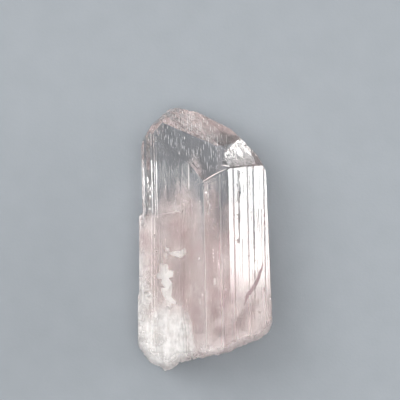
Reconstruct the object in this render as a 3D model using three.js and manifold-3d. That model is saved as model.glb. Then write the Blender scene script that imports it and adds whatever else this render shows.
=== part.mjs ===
// A single danburite crystal, broken off its matrix and lying on its back face.
// Millimetres. +Y runs along the crystal's c axis towards its tip, +X to the right of someone who looks
// down on it with the tip away from them, and +Z is up, along the a axis. The origin is on the resting
// face, below the middle of the crystal's length and width.
import * as THREE from "three";
import { ConvexGeometry } from "three/addons/geometries/ConvexGeometry.js";
import { mergeVertices } from "three/addons/utils/BufferGeometryUtils.js";
import Module from "manifold-3d";

const wasm = await Module();
wasm.setup();

// ---- driving dimensions ----------------------------------------------------------------------------
const LENGTH = 56.1; // from the lowest nub of the broken base to the ridge of the tip
const THICKNESS = 21; // from the resting face up to the front prism edge
const AXIAL_RATIO = { a: 0.5444, b: 1, c: 0.4807 }; // danburite, Dana's setting
const LEAN = 0.021; // the prism leans this much to the left for each millimetre towards the tip
const RIGHT_TAPER = 0.0435; // and its right side draws in by this much for each millimetre
const FINEST = 0.004; // edges shorter than this are merged where solids are joined or cut
const TIP_CORNER = [-0.34, 41.4, THICKNESS]; // where the front prism edge meets the sloping face

// The cross-section, from [x, z] corner to corner, as it is at the height of the tip corner.
const FRONT_EDGE = [-0.34, THICKNESS];
const LEFT_FACES = [
  [-8.6, 0], // left end of the resting face
  [-13.5, 2.7],
  [-13.5, 7.4],
  [-12.35, 9.3],
  [-11.7, 9.9],
  [-9.85, 11.45],
  [-8.2, 14.05],
  [-3.2, 17.15], // the top of the steep strip beside the front edge
];
const RIGHT_FACES = [
  [4.85, 18.05], // front right edge
  [15.4, 9.2],
  [15.4, 7.1],
  [2.4, 0], // right end of the resting face
];

// Growth lines along the front faces: [x, width, depth] of each fine groove.
const FRONT_GROOVES = [
  [-11.25, 0.35, 0.12],
  [-10.65, 0.25, 0.09],
  [-10.2, 0.3, 0.1],
  [-9.1, 0.3, 0.1],
  [-7.1, 0.4, 0.04],
  [-5.2, 0.3, 0.05],
  [-2.3, 0.3, 0.04],
  [3.1, 0.3, 0.03],
  [5.9, 0.35, 0.06],
  [8.9, 0.3, 0.05],
  [10.1, 0.35, 0.1],
  [12.4, 0.3, 0.06],
];
const BACK_GROOVES = [-12.1, -11.2, -10.3, 4.6, 6.4, 7.9, 8.6, 10.2, 11.9].map((x) => [x, 0.35, 0.09]);

// Outlines that cut right across the crystal start past its left side and end below its base.
const PAST_LEFT = -16;
const BELOW_BASE = -3;

// Younger layers grew over the lower left, each a little further out than the one below it. The line
// where a layer stops is given from the left side over to the front, as [x, y].
const FIRST_LEDGE = [
  [PAST_LEFT, 30.6],
  [-14.2, 32.2],
  [-13.6, 33.3],
  [-12.8, 33.5],
  [-11.7, 33],
  [-9.5, 32.7],
  [-8.4, 33.5],
  [-6.3, 34],
  [-4.6, 34.5],
  [-4, 35.6],
  [-4.3, 30.8],
  [-4.6, 24.8],
  [-4.3, 12.1],
  [-3.9, 9.2],
  [-3.75, BELOW_BASE],
];
const SECOND_LEDGE = [
  [PAST_LEFT, 14.2],
  [-14.5, 15],
  [-14.2, 16.2],
  [-13.7, 17],
  [-12.8, 17.3],
  [-11.7, 16.6],
  [-10.9, 14.6],
  [-10.5, 8],
  [-9.6, BELOW_BASE],
];
const LAYERS = [
  { ledge: FIRST_LEDGE, outset: 0.35, shift: [0, 0] },
  { ledge: FIRST_LEDGE, outset: 0.6, shift: [-0.62, -0.45] },
  { ledge: SECOND_LEDGE, outset: 0.88, shift: [0, 0] },
];
// The layers' inner side, [x, z], which lies deep inside the crystal.
const LAYER_ROOT = [
  [-3, 14],
  [-6, 3],
];

// The lowest outline of the broken base as it is seen from the front, [x, y] from left to right.
const BASE_OUTLINE = [
  [-16, 8],
  [-14, 5.6],
  [-13.9, 3.6],
  [-13.5, 2.8],
  [-12, 2.2],
  [-11.4, 1],
  [-9.7, 0.9],
  [-8.2, 0],
  [-6.8, 1],
  [-5.6, 2.2],
  [-2.6, 3.3],
  [0, 4.4],
  [2.1, 4.5],
  [5.2, 5],
  [7.6, 5.9],
  [11.2, 6.7],
  [12.6, 7.2],
  [13.7, 8.3],
  [14.3, 9.8],
  [16, 14],
];

// Below the front faces the break runs out in a narrow bevel; further back it is a wide hollow.
const BASE_BEVEL = { height: 1.1, width: 1.6, curve: 1.5 };
const BASE_HOLLOW = { depth: 2.6, middle: 3, width: 8, from: 1, to: 14 };
const BASE_RIPPLES = { height: 0.22, perMillimetre: 2.1, start: [-9, 11], from: 0.6, to: 4 };
const BASE_LUMPS = { height: 0.3, full: 4 };

// The shell-shaped break on the right shoulder. Its bowl sinks in from a line along the right face, which
// goes from start in the direction along, and rises again towards the sloping face.
const SHOULDER_BREAK = {
  start: [4.35, 43.9, 18.41],
  outward: [0.567, 0.455, 0.687],
  along: [0.766, 0.016, -0.643],
};
const SHOULDER_BOWL = { depth: 1.25, middle: 3.6 };
const SHOULDER_FAN = { height: 0.028, ridges: 22, from: 0.5, to: 2.5, fade: [1, 3.2] };
const SHOULDER_FOLDS = { height: 0.035, perMillimetre: 2.6, from: 4, to: 5.5 };

// A wavy furrow along the right face, its outline given as [x, y] from above.
const FURROW_DEPTH = 0.28;
const FURROW_FLOOR = 0.25; // the width of its floor, as a share of the width at the top
const FURROW_TOP = 6.95; // x of its middle line where it runs out at the shoulder
const FURROW = [
  [6.35, 43.2],
  [6.6, 40.5],
  [6.4, 38.2],
  [6.75, 36],
  [6.6, 33.4],
  [6.95, 30.8],
  [6.9, 28.6],
  [7.15, 27.4],
  [7.45, 28.8],
  [7.4, 31],
  [7.6, 33.6],
  [7.35, 36.4],
  [7.65, 39],
  [7.3, 41.4],
  [7.45, 43.2],
];

// Small knocks: [x, y, z] and the half sizes of what is missing, then how far it is turned (degrees).
const KNOCKS = [
  { at: [13.45, 32.2, 9.4], size: [0.5, 1.3, 0.8], turn: 8 },
  { at: [13.75, 29.2, 9.6], size: [0.35, 0.6, 0.6], turn: -10 },
  { at: [-12.4, 16.9, 10.6], size: [1.1, 0.3, 0.9], turn: -25 },
  { at: [-13.5, 31.6, 9.2], size: [0.2, 1.2, 0.9], turn: 18 },
  { at: [-0.3, 41.3, 21.1], size: [0.35, 0.35, 0.3], turn: 0 },
  { at: [-14.1, 22, 3.9], size: [0.5, 0.8, 0.5], turn: 0 },
];

// ---- small helpers ---------------------------------------------------------------------------------
// The a axis points up, b to the right and c along +Y, so (h k l) has this outward normal.
const miller = (h, k, l) => [
  k / AXIAL_RATIO.b,
  l / AXIAL_RATIO.c,
  h / AXIAL_RATIO.a,
];

// A plane through a point, as its outward normal and its distance from the origin.
function plane(direction, point) {
  const normal = new THREE.Vector3(...direction).normalize();
  return { normal, distance: normal.dot(new THREE.Vector3(...point)) };
}

// Every corner of a convex body is where three of its planes meet inside all the others.
function corners(planes) {
  const found = [];
  const inside = (p) => planes.every((q) => q.normal.dot(p) <= q.distance + 1e-6);
  for (let i = 0; i < planes.length; i++)
    for (let j = i + 1; j < planes.length; j++)
      for (let k = j + 1; k < planes.length; k++) {
        const [a, b, c] = [planes[i], planes[j], planes[k]];
        const bc = new THREE.Vector3().crossVectors(b.normal, c.normal);
        const volume = a.normal.dot(bc);
        if (Math.abs(volume) < 1e-6) continue;
        const ca = new THREE.Vector3().crossVectors(c.normal, a.normal);
        const ab = new THREE.Vector3().crossVectors(a.normal, b.normal);
        const p = bc.multiplyScalar(a.distance);
        p.add(ca.multiplyScalar(b.distance)).add(ab.multiplyScalar(c.distance));
        p.divideScalar(volume);
        if (inside(p) && !found.some((f) => f.distanceTo(p) < 1e-4)) found.push(p);
      }
  return found;
}

function solidOf(geometry) {
  geometry.deleteAttribute("normal");
  geometry.deleteAttribute("uv");
  const merged = mergeVertices(geometry, 1e-4);
  return new wasm.Manifold(
    new wasm.Mesh({
      numProp: 3,
      vertProperties: new Float32Array(merged.attributes.position.array),
      triVerts: new Uint32Array(merged.index.array),
    }),
  ).setTolerance(FINEST);
}

function geometryOf(solid) {
  const mesh = solid.getMesh();
  const positions = new THREE.BufferAttribute(new Float32Array(mesh.vertProperties), 3);
  const triangles = new THREE.BufferAttribute(new Uint32Array(mesh.triVerts), 1);
  return new THREE.BufferGeometry().setAttribute("position", positions).setIndex(triangles);
}

// The value at x of a line through [x, value] points.
function onLine(points, x) {
  const i = points.findIndex((p, n) => n > 0 && p[0] >= x);
  if (i < 0) return points.at(-1)[1];
  const [a, b] = [points[i - 1], points[i]];
  return THREE.MathUtils.mapLinear(Math.max(x, a[0]), a[0], b[0], a[1], b[1]);
}

// A line of [x, z] corners with V-shaped grooves cut into its sides, where [x, width, depth] says.
function grooved(line, grooves) {
  return line.flatMap((a, i) => {
    if (i === line.length - 1) return [a];
    const b = line[i + 1];
    const [low, high] = [Math.min(a[0], b[0]), Math.max(a[0], b[0])];
    const run = Math.sign(b[0] - a[0]);
    const slope = (b[1] - a[1]) / (b[0] - a[0]);
    const length = Math.hypot(b[0] - a[0], b[1] - a[1]);
    const inward = [(b[1] - a[1]) / length, (a[0] - b[0]) / length];
    const here = grooves.filter(([x, width]) => x - width > low && x + width < high);
    here.sort((g, h) => run * (g[0] - h[0]));
    const cuts = here.flatMap(([x, width, depth]) =>
      [-1, 0, 1].map((side) => {
        const at = x + (run * side * width) / 2;
        const sunk = side === 0 ? depth : 0;
        return [at + inward[0] * sunk, a[1] + slope * (at - a[0]) + inward[1] * sunk];
      }),
    );
    return [a, ...cuts];
  });
}

// The same corners, moved outwards so that every side lies further out by one distance.
function outset(points, distance) {
  return points.map((p, i) => {
    const before = points[Math.max(i - 1, 0)];
    const after = points[Math.min(i + 1, points.length - 1)];
    const sides = [[before, p], [p, after]].filter(([a, b]) => a !== b);
    const normals = sides.map(([a, b]) => {
      const length = Math.hypot(b[0] - a[0], b[1] - a[1]);
      return new THREE.Vector2(-(b[1] - a[1]) / length, (b[0] - a[0]) / length);
    });
    const middle = normals[0].clone().add(normals.at(-1)).normalize();
    const reach = distance / middle.dot(normals[0]);
    return [p[0] + middle.x * reach, p[1] + middle.y * reach];
  });
}

// A block whose one side, at y = relief(x, z), is rough; the rest lies beyond it along +y.
function roughBlock([left, right], [near, far], cells, reach, relief) {
  const geometry = new THREE.BoxGeometry(right - left, reach, far - near, cells[0], 1, cells[1]);
  geometry.translate((left + right) / 2, 0, (near + far) / 2);
  const corner = geometry.attributes.position;
  for (let i = 0; i < corner.count; i++) {
    const rough = corner.getY(i) < 0;
    corner.setY(i, rough ? relief(corner.getX(i), corner.getZ(i)) : reach);
  }
  return geometry;
}

const grown = (planes) => solidOf(new ConvexGeometry(corners(planes)));

// A prism along the c axis, from an [x, z] cross-section. Its ends lie past both ends of the crystal.
const PAST_ENDS = 4;
function prism(section, lean = 0) {
  const length = LENGTH + 2 * PAST_ENDS;
  const outline = new THREE.Shape(section.map(([x, z]) => new THREE.Vector2(x, z)));
  const geometry = new THREE.ExtrudeGeometry(outline, { depth: length, bevelEnabled: false });
  geometry.rotateX(Math.PI / 2).translate(0, LENGTH + PAST_ENDS, 0);
  const leaning = new THREE.Matrix4().makeShear(0, 0, -lean, 0, 0, 0);
  leaning.setPosition(lean * TIP_CORNER[1], 0, 0);
  return solidOf(geometry.applyMatrix4(leaning));
}

// ---- the crystal as it grew ------------------------------------------------------------------------
const tip = grown([
  plane(miller(1, 0, 1), TIP_CORNER), // the large sloping face
  plane([0.28, 0.43, 0.86], [-0.4, 41.35, 20.87]), // the narrow face along its lower right edge
  plane([0.28, 0.466, -0.839], [-3.2, 46.2, 0]), // the long shallow face under the tip
  plane(miller(-1, 0, 1), [-5, 56.1, 4.5]), // the narrow face that ends the tip behind its ridge
  plane(miller(-1, 2, 1), [-2.4, 55.4, 5]), // back right shoulder
  plane([0.7, 0.71, -0.1], [7.6, 49.6, 10]), // rounding of the right shoulder
  plane([0.86, 0.5, -0.05], [11, 46.2, 10]),
  plane([-0.386, 0.864, 0.324], [-11.75, 51.45, 9.9]), // left bevel
  plane(miller(-1, -4, 1), [-8.35, 55.2, 4.3]), // back left shoulder
  plane([-0.87, 0.49, 0], [-13.65, 48.5, 6]), // left corner
  plane([1, RIGHT_TAPER, 0], [13.15, 38.9, 8]), // right side
  plane([-1, 0, 0], [-20, 0, 0]),
  plane([0, -1, 0], [0, -PAST_ENDS / 2, 0]),
  plane([0, 0, 1], [0, 0, THICKNESS + 1]),
  plane([0, 0, -1], [0, 0, -1]),
]);

const frontSection = [...LEFT_FACES.slice(2), FRONT_EDGE, ...RIGHT_FACES.slice(0, 2)];
const backSection = [...RIGHT_FACES.slice(2), ...LEFT_FACES.slice(0, 2)];
const section = [...grooved(frontSection, FRONT_GROOVES), ...grooved(backSection, BACK_GROOVES)];
const mainCrystal = prism(section, LEAN);

// A layer covers the left faces below its ledge.
function overgrowth({ ledge, outset: distance, shift }) {
  const skin = outset(LEFT_FACES, distance).slice(1);
  const layer = prism([...grooved(skin, FRONT_GROOVES), ...LAYER_ROOT]);
  const outline = [...ledge, [PAST_LEFT, BELOW_BASE]];
  const moved = outline.map(([x, y]) => new THREE.Vector2(x + shift[0], y + shift[1]));
  const cover = new THREE.Shape(moved);
  const geometry = new THREE.ExtrudeGeometry(cover, { depth: THICKNESS, bevelEnabled: false });
  return layer.intersect(solidOf(geometry));
}

// ---- breakage --------------------------------------------------------------------------------------
// The base broke across the prism: a narrow bevel in front, then a shell-shaped hollow with ripples.
function baseHeight(x, z) {
  const { smoothstep } = THREE.MathUtils;
  const below = onLine(frontSection, x) - z;
  const bevel = Math.max(0, 1 - below / BASE_BEVEL.width) ** BASE_BEVEL.curve;
  const offMiddle = (x - BASE_HOLLOW.middle) / BASE_HOLLOW.width;
  const hollow = Math.exp(-(offMiddle ** 2)) * smoothstep(below, BASE_HOLLOW.from, BASE_HOLLOW.to);
  const fromStart = Math.hypot(x - BASE_RIPPLES.start[0], z - BASE_RIPPLES.start[1]);
  const ripple = Math.sin(BASE_RIPPLES.perMillimetre * fromStart);
  const rippled = smoothstep(below, BASE_RIPPLES.from, BASE_RIPPLES.to);
  const lumps = Math.sin(1.7 * x + 0.9 * z) * Math.sin(1.1 * z - 0.6 * x);
  const lumpy = Math.min(1, Math.max(0, below) / BASE_LUMPS.full);
  return (
    onLine(BASE_OUTLINE, x) +
    BASE_BEVEL.height * bevel +
    BASE_HOLLOW.depth * hollow +
    BASE_RIPPLES.height * ripple * rippled +
    BASE_LUMPS.height * lumps * lumpy
  );
}
const base = roughBlock([-17, 17], [-23, 2], [44, 26], 16, (x, z) => -baseHeight(x, -z));
base.rotateX(Math.PI); // so the block reaches away from the crystal, towards -Y

// The shoulder broke like glass: a smooth bowl with ridges that fan out from where it was struck, and
// broad folds further away.
function shoulderRelief(x, z) {
  const { smoothstep } = THREE.MathUtils;
  const up = -z;
  const bowl = 1 - ((up - SHOULDER_BOWL.middle) / SHOULDER_BOWL.middle) ** 2;
  const away = Math.hypot(x, up);
  const { from, to, fade } = SHOULDER_FAN;
  const fanned = smoothstep(away, from, to) * (1 - smoothstep(up, ...fade));
  const fan = Math.sin(SHOULDER_FAN.ridges * Math.atan2(up + 0.4, x + 0.4)) * fanned;
  const folded = smoothstep(away, SHOULDER_FOLDS.from, SHOULDER_FOLDS.to);
  const fold = Math.sin(SHOULDER_FOLDS.perMillimetre * away) * folded;
  return SHOULDER_FAN.height * fan + SHOULDER_FOLDS.height * fold - SHOULDER_BOWL.depth * bowl;
}
const shoulder = roughBlock([-3, 14], [-11, 1.2], [34, 26], 8, shoulderRelief);
const outward = new THREE.Vector3(...SHOULDER_BREAK.outward).normalize();
const along = new THREE.Vector3(...SHOULDER_BREAK.along).normalize();
const across = new THREE.Vector3().crossVectors(along, outward).normalize();
const shoulderPlace = new THREE.Matrix4().makeBasis(along, outward, across);
shoulder.applyMatrix4(shoulderPlace.setPosition(...SHOULDER_BREAK.start));

// The furrow is as deep below the right face everywhere, and its sides slope in to a narrow floor.
function furrow() {
  const [edge, side] = RIGHT_FACES;
  const slope = (side[1] - edge[1]) / (side[0] - edge[0]);
  const outline = new THREE.Shape(FURROW.map(([x, y]) => new THREE.Vector2(x, y)));
  const geometry = new THREE.ExtrudeGeometry(outline, { depth: THICKNESS, bevelEnabled: false });
  const lowEnd = FURROW.reduce((low, p) => (p[1] < low[1] ? p : low));
  const middle = (y) => THREE.MathUtils.mapLinear(y, lowEnd[1], FURROW[0][1], lowEnd[0], FURROW_TOP);
  const corner = geometry.attributes.position;
  for (let i = 0; i < corner.count; i++) {
    const [x, y, floor] = [corner.getX(i), corner.getY(i), corner.getZ(i) < THICKNESS / 2];
    const lean = LEAN * (TIP_CORNER[1] - y);
    const face = edge[1] + slope * (x - lean - edge[0]);
    if (floor) corner.setXYZ(i, middle(y) + FURROW_FLOOR * (x - middle(y)), y, face - FURROW_DEPTH);
    else corner.setXYZ(i, x, y, face + FURROW_DEPTH);
  }
  return solidOf(geometry);
}

function knock({ at, size, turn }) {
  const geometry = new THREE.IcosahedronGeometry(1, 1).scale(...size);
  geometry.rotateZ(THREE.MathUtils.degToRad(turn)).translate(...at);
  return solidOf(geometry);
}

let crystal = mainCrystal.intersect(tip);
for (const layer of LAYERS) crystal = crystal.add(overgrowth(layer));
const missing = [solidOf(base), solidOf(shoulder), furrow(), ...KNOCKS.map(knock)];
for (const solid of missing) crystal = crystal.subtract(solid);
// Where two surfaces graze each other a speck may be left; only the crystal itself is kept.
crystal = crystal.decompose().sort((a, b) => b.volume() - a.volume())[0];

const mesh = new THREE.Mesh(
  geometryOf(crystal),
  new THREE.MeshStandardMaterial({ color: 0xe6dcdc, roughness: 0.12, metalness: 0 }),
);
mesh.name = "crystal";
mesh.position.y = -LENGTH / 2;

const part = new THREE.Group();
part.add(mesh);
export default part;
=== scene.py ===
"""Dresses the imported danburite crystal: clear etched faces, a frosty break, and milk and veils inside."""
import math
import bpy
import bmesh
import numpy as np
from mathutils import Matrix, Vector, noise
from mathutils.bvhtree import BVHTree
from mathutils.geometry import delaunay_2d_cdt


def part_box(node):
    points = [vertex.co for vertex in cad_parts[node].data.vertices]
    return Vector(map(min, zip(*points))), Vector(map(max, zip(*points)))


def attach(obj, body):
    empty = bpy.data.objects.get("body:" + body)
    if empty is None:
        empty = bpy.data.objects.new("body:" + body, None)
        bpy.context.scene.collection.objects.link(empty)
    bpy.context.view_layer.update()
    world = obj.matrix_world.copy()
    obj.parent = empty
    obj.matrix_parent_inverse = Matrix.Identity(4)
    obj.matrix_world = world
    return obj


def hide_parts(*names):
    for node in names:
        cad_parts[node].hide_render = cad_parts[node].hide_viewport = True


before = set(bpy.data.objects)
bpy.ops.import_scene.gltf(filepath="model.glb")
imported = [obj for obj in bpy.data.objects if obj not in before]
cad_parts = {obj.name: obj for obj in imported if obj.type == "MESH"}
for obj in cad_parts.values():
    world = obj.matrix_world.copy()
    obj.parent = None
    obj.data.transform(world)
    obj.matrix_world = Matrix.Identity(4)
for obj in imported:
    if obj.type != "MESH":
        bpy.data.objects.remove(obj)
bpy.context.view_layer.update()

MM = 0.001  # the sizes below are in millimetres, and Blender's are in metres
LOW, HIGH = (np.array(corner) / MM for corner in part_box("crystal"))
C_AXIS = np.array([-0.021, 1.0, 0.0]) / math.hypot(0.021, 1.0)  # the prism leans a little to the left
UP = Vector((0.0, 0.0, 1.0))
TO_BASE = Vector((0.0, -1.0, 0.0))
SEED = 11

# ---- camera ----------------------------------------------------------------------------------------
CAMERA_TARGET = (-1.06, 8.55, 10.0)
CAMERA_DISTANCE = 450.0
CAMERA_TILT = 5.0  # degrees from straight down, towards the tip
FRAME_WIDTH = 85.0  # what the frame spans at the target's distance
CLIP_START = 0.01  # metres


def make_camera():
    tilt = math.radians(CAMERA_TILT)
    camera = bpy.data.objects.new("camera", bpy.data.cameras.new("camera"))
    bpy.context.scene.collection.objects.link(camera)
    away = Vector((0.0, math.sin(tilt), math.cos(tilt)))
    camera.location = (Vector(CAMERA_TARGET) + away * CAMERA_DISTANCE) * MM
    camera.rotation_euler = (-tilt, 0.0, 0.0)
    camera.data.angle = 2.0 * math.atan(FRAME_WIDTH / 2.0 / CAMERA_DISTANCE)
    camera.data.clip_start = CLIP_START
    bpy.context.scene.camera = camera


# ---- the outer surface -----------------------------------------------------------------------------
WELD = 0.002  # points of the CAD mesh that lie this close are one
FLAT_WITHIN = 0.012  # triangles whose corners all lie this close to one plane are one flat face
FLAT_COSINE = 0.98  # if they also face the same way, or are slivers, whose normals say little
SLIVER = 0.002  # square millimetres
LARGE_FACE = 3.0  # square millimetres; smaller pieces of surface belong to a break or a ledge
EDGE_STEP = 0.45  # spacing of the points along edges
ROUGH_STEP = 0.3  # spacing of the points on broken surface
EDGE_WEAR = 0.035  # how far a sharp edge is worn down
WEAR_WIDTH = 0.13  # and how wide the worn band is on each side of it
WORN_FACE = 9.0  # square millimetres; only edges between faces larger than this show their wear
WEAR_UNEVEN = 0.6  # how much more or less the wear can be, as a share
WEAR_SCALE = (0.9, 0.1, 0.9)  # of the noise in it
SHORT_EDGE = 0.1  # an edge shorter than this gets no worn band
SHARP_COSINE = math.cos(math.radians(12.0))
SPLINTER = 0.9  # width of the splinters on broken surface
BASE_SPLINTERS = 0.22  # how deep they are on the base
CHIP_SPLINTERS = 0.01  # and on a chip
FINE_HACKLE = 2.3  # scale of the finer noise on a break, against the coarser
HACKLE_SHARES = (0.6, 0.6, 0.5)  # of the splinters' own depths, the noise, and the finer noise in that
HACKLE_APART = 7.0  # keeps the splinters' depths unlike each other
HACKLE_SHIFT = Vector((5.0, 1.0, 9.0))
NOTCH = 1.6  # width of the notches in the outline of the base
NOTCH_DEPTH = 0.5
CHIP_STEP = 0.13  # spacing of the points on a chip
CHIP_FOLDS = 0.07  # how deep the folds of a chip are
FOLD_NOISE = (1.1, 0.3, 6.0)  # the noise in them: its scale across and along, and its place
FAN_CENTRE = (6.0, 15.9)  # where the fine ridges on the chipped shoulder come together
FAN_RIDGES = 34  # to a full turn
FAN_REACH = (3.8, 2.2)  # how far out they end, and how far out they are still whole
FAN_DEPTH = 0.08
FAN_WAVER = 3.0  # how far the ridges stray, in radians of their own wave
FAN_WAVER_SCALE = 0.8
END_SHARE = 0.2  # a face looks to the tip or the base if more of its normal than this lies along the crystal
BREAK_SHARE = 0.08  # and a small piece of surface that leans more than this belongs to a break
SCATTER = 0.3  # how far scattered points stray from their grid, as a share of its spacing
SCATTER_CLEAR = 0.45  # and the least distance from the edges, in the same way
CELL = 0.06  # grid that keeps etch marks apart
EDGE_MARGIN = 0.1  # and away from a face's edges
MARK_TILT = 0.02  # how far the marks stray from the crystal's length, as a slope
MARK_SIDES = (0.3, 0.7)  # how far each side of a mark bulges, as a share of its width
# The corners of a mark: where each lies along the mark, its side and its depth, all as shares. The first
# six run round its top, and the last two lie at its bottom.
SPINDLE = [(-0.5, 0, 0.0), (-0.2, -1, 0.0), (0.3, -1, 0.0), (0.5, 0, 0.0), (0.25, 1, 0.0), (-0.3, 1, 0.0),
           (-0.32, 0, -1.0), (0.33, 0, -0.7)]
MARK_RIM = 6
ETCHED_FACE = 12.0  # square millimetres; smaller faces have no etch marks
GROOVE_FROST = 1.0
GROOVE_WIDTH = 0.5  # a wall is narrower than this, and the grooves lie this close to their places
SHARP_GROOVES = (7.0, 10.1)  # where the grooves on the right face have kept their polish
BASE_FROST = 1.0
CHIP_FROST = 0.4
TIP_CROWD = ([-11.0, -9.5, -1.0, 2.0, 4.5], [0.5, 1.0, 1.0, 0.4, 0.1])  # how marks crowd, across the tip
TIP_NOISE, UPPER_NOISE = (0.9, 0.08, 3.0), (1.3, 0.1, 7.0)  # the noise that says where marks are wanted
UPPER_FROM = (3.0, 9.0)  # on the prism, from where to where marks grow common towards the tip
UPPER_RIGHT, UPPER_LEFT = (5.5, 3.5), (-10.2, -9.6)  # and inwards from both sides
TIP_FACE = (0.6, 0.3)  # more of the tip's normal than this lies along the crystal, and upwards
RIGHT_FACE = 0.55  # and of the right face's, to the right
GROOVE_WALL = (0.3, 0.2)  # and of a groove's wall on it, to the right, and upwards
DUST_SHRINK = 0.82  # the white dust in an etch mark, as a share of the mark's size
DUST_DEPTH = 0.012  # and how far below the face its top lies
SLIT = 0.0015  # the points on both sides of a slit this narrow are joined
SAME_PLACE = 1e-7  # points this close are one, where a sheet or a face is filled with triangles
TINY = 1e-9  # no divisor is smaller than this
AT_ONCE = 2000  # how many spots are compared with an outline at a time


def welded_triangles(name):
    """The CAD node's points, in millimetres, and its triangles, with doubled points joined."""
    mesh = bmesh.new()
    mesh.from_mesh(bpy.data.objects[name].data)
    bmesh.ops.remove_doubles(mesh, verts=mesh.verts, dist=WELD * MM)
    bmesh.ops.triangulate(mesh, faces=mesh.faces)
    points = np.array([v.co for v in mesh.verts]) / MM
    triangles = np.array([[v.index for v in f.verts] for f in mesh.faces])
    mesh.free()
    return points, triangles


def normals_and_areas(points, triangles):
    a, b, c = (points[triangles[:, i]] for i in range(3))
    cross = np.cross(b - a, c - a)
    length = np.linalg.norm(cross, axis=1)
    return cross / np.maximum(length, TINY)[:, None], length / 2.0


def sides_of(faces):
    """The faces on each side of every edge."""
    beside = {}
    for n, face in enumerate(faces):
        for k in range(3):
            beside.setdefault(frozenset((face[k], face[k - 1])), []).append(n)
    return beside


def flat_faces(points, triangles):
    """Groups of triangles, one for each flat face, from the largest triangle's plane outwards."""
    normals, areas = normals_and_areas(points, triangles)
    neighbours = sides_of(triangles)
    group_of = np.full(len(triangles), -1)
    groups = []
    for seed in np.argsort(-areas):
        if group_of[seed] >= 0:
            continue
        normal = normals[seed]
        height = points @ normal - points[triangles[seed][0]] @ normal
        group, waiting = [], [seed]
        group_of[seed] = len(groups)
        while waiting:
            t = waiting.pop()
            group.append(t)
            for i in range(3):
                for other in neighbours[frozenset((triangles[t][i], triangles[t][i - 1]))]:
                    if group_of[other] >= 0:
                        continue
                    near = np.abs(height[triangles[other]]).max() < FLAT_WITHIN
                    if near and (normals[other] @ normal > FLAT_COSINE or areas[other] < SLIVER):
                        group_of[other] = len(groups)
                        waiting.append(other)
        groups.append((normal, group, areas[group].sum()))
    return groups, group_of, neighbours


def split_edges(points, group_of, neighbours, rough):
    """The chain of points along every edge between two faces. Returns all the points and the chains."""
    chains, added = {}, []
    for key, (one, other) in neighbours.items():
        if group_of[one] == group_of[other]:
            continue
        start, end = sorted(key)
        length = np.linalg.norm(points[end] - points[start])
        step = ROUGH_STEP if rough[group_of[one]] or rough[group_of[other]] else EDGE_STEP
        count = max(1, round(length / step))
        first = len(points) + len(added)
        for k in range(1, count):
            added.append(points[start] + (points[end] - points[start]) * k / count)
        chains[key] = [start, *range(first, first + count - 1), end]
    return np.vstack([points, added]), chains


def ramp(value, start, full):
    """From 0 at start to 1 at full."""
    return min(1.0, max(0.0, (value - start) / (full - start)))


def streaks(x, y, kind):
    """Noise from 0 to 1 of one kind: its scale across and along the crystal, and its place."""
    across, along, place = kind
    return 0.5 + 0.5 * noise.noise(Vector((x * across, y * along, place)))


def hackle(point, size):
    """From 0 to 1: how much has splintered off a break here. Size is the width of its splinters."""
    spot = Vector(point) / size
    _, cells = noise.voronoi(spot)
    own, shared, finer = HACKLE_SHARES
    coarse = abs(noise.noise(spot)) + finer * abs(noise.noise(spot * FINE_HACKLE + HACKLE_SHIFT))
    return min(1.0, own * noise.cell(cells[0] * HACKLE_APART) + shared * coarse)


def break_depth(point, inward):
    """The base broke off in splinters, and the small chips cleanly, like glass, in folds and fine ridges."""
    if inward @ C_AXIS > END_SHARE:
        return BASE_SPLINTERS * hackle(point, SPLINTER)
    x, y = point[0] - FAN_CENTRE[0], point[1] - FAN_CENTRE[1]
    fold = streaks(point[0], point[1], FOLD_NOISE)
    waver = FAN_WAVER * noise.noise(Vector((x, y, 2.0)) * FAN_WAVER_SCALE)
    wave = 0.5 + 0.5 * math.sin(math.atan2(y, x) * FAN_RIDGES + waver)
    return (
        CHIP_SPLINTERS * hackle(point, SPLINTER) + CHIP_FOLDS * fold
        + FAN_DEPTH * wave * ramp(math.hypot(x, y), *FAN_REACH)
    )


def worn_points(points, chains, triangles, groups, group_of, neighbours, rough):
    """Moves the points of the edges inwards: breaks are hackly, and sharp edges a little worn."""
    around, worn = {}, {}
    for key, chain in chains.items():
        one, other = neighbours[key]
        pair = [group_of[one], group_of[other]]
        normals = [groups[g][0] for g in pair]
        opposite = [i for i in triangles[other] if i not in key][0]
        convex = (points[opposite] - points[chain[0]]) @ normals[0] < 0
        sharp = normals[0] @ normals[1] < SHARP_COSINE
        large = min(groups[g][2] for g in pair) > WORN_FACE
        for i in chain:
            around.setdefault(i, set()).update(pair)
            if convex and sharp and large:
                worn.setdefault(i, []).append(normals[0] + normals[1])
    moved = points.copy()
    for i, near in around.items():
        broken = [g for g in near if rough[g]]
        if broken and len(broken) == len(near):
            inward = -np.sum([groups[g][0] for g in near], axis=0)
            inward /= max(np.linalg.norm(inward), TINY)
            moved[i] += inward * break_depth(points[i], inward)
        elif any(groups[g][0] @ C_AXIS < -END_SHARE for g in broken):
            moved[i] += C_AXIS * NOTCH_DEPTH * hackle(points[i], NOTCH)
        elif i in worn and not broken:
            inward = -np.sum(worn[i], axis=0)
            inward /= np.linalg.norm(inward)
            uneven = 1.0 + WEAR_UNEVEN * noise.noise(Vector(points[i] * WEAR_SCALE))
            moved[i] += inward * EDGE_WEAR * uneven
    return moved, worn


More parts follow.
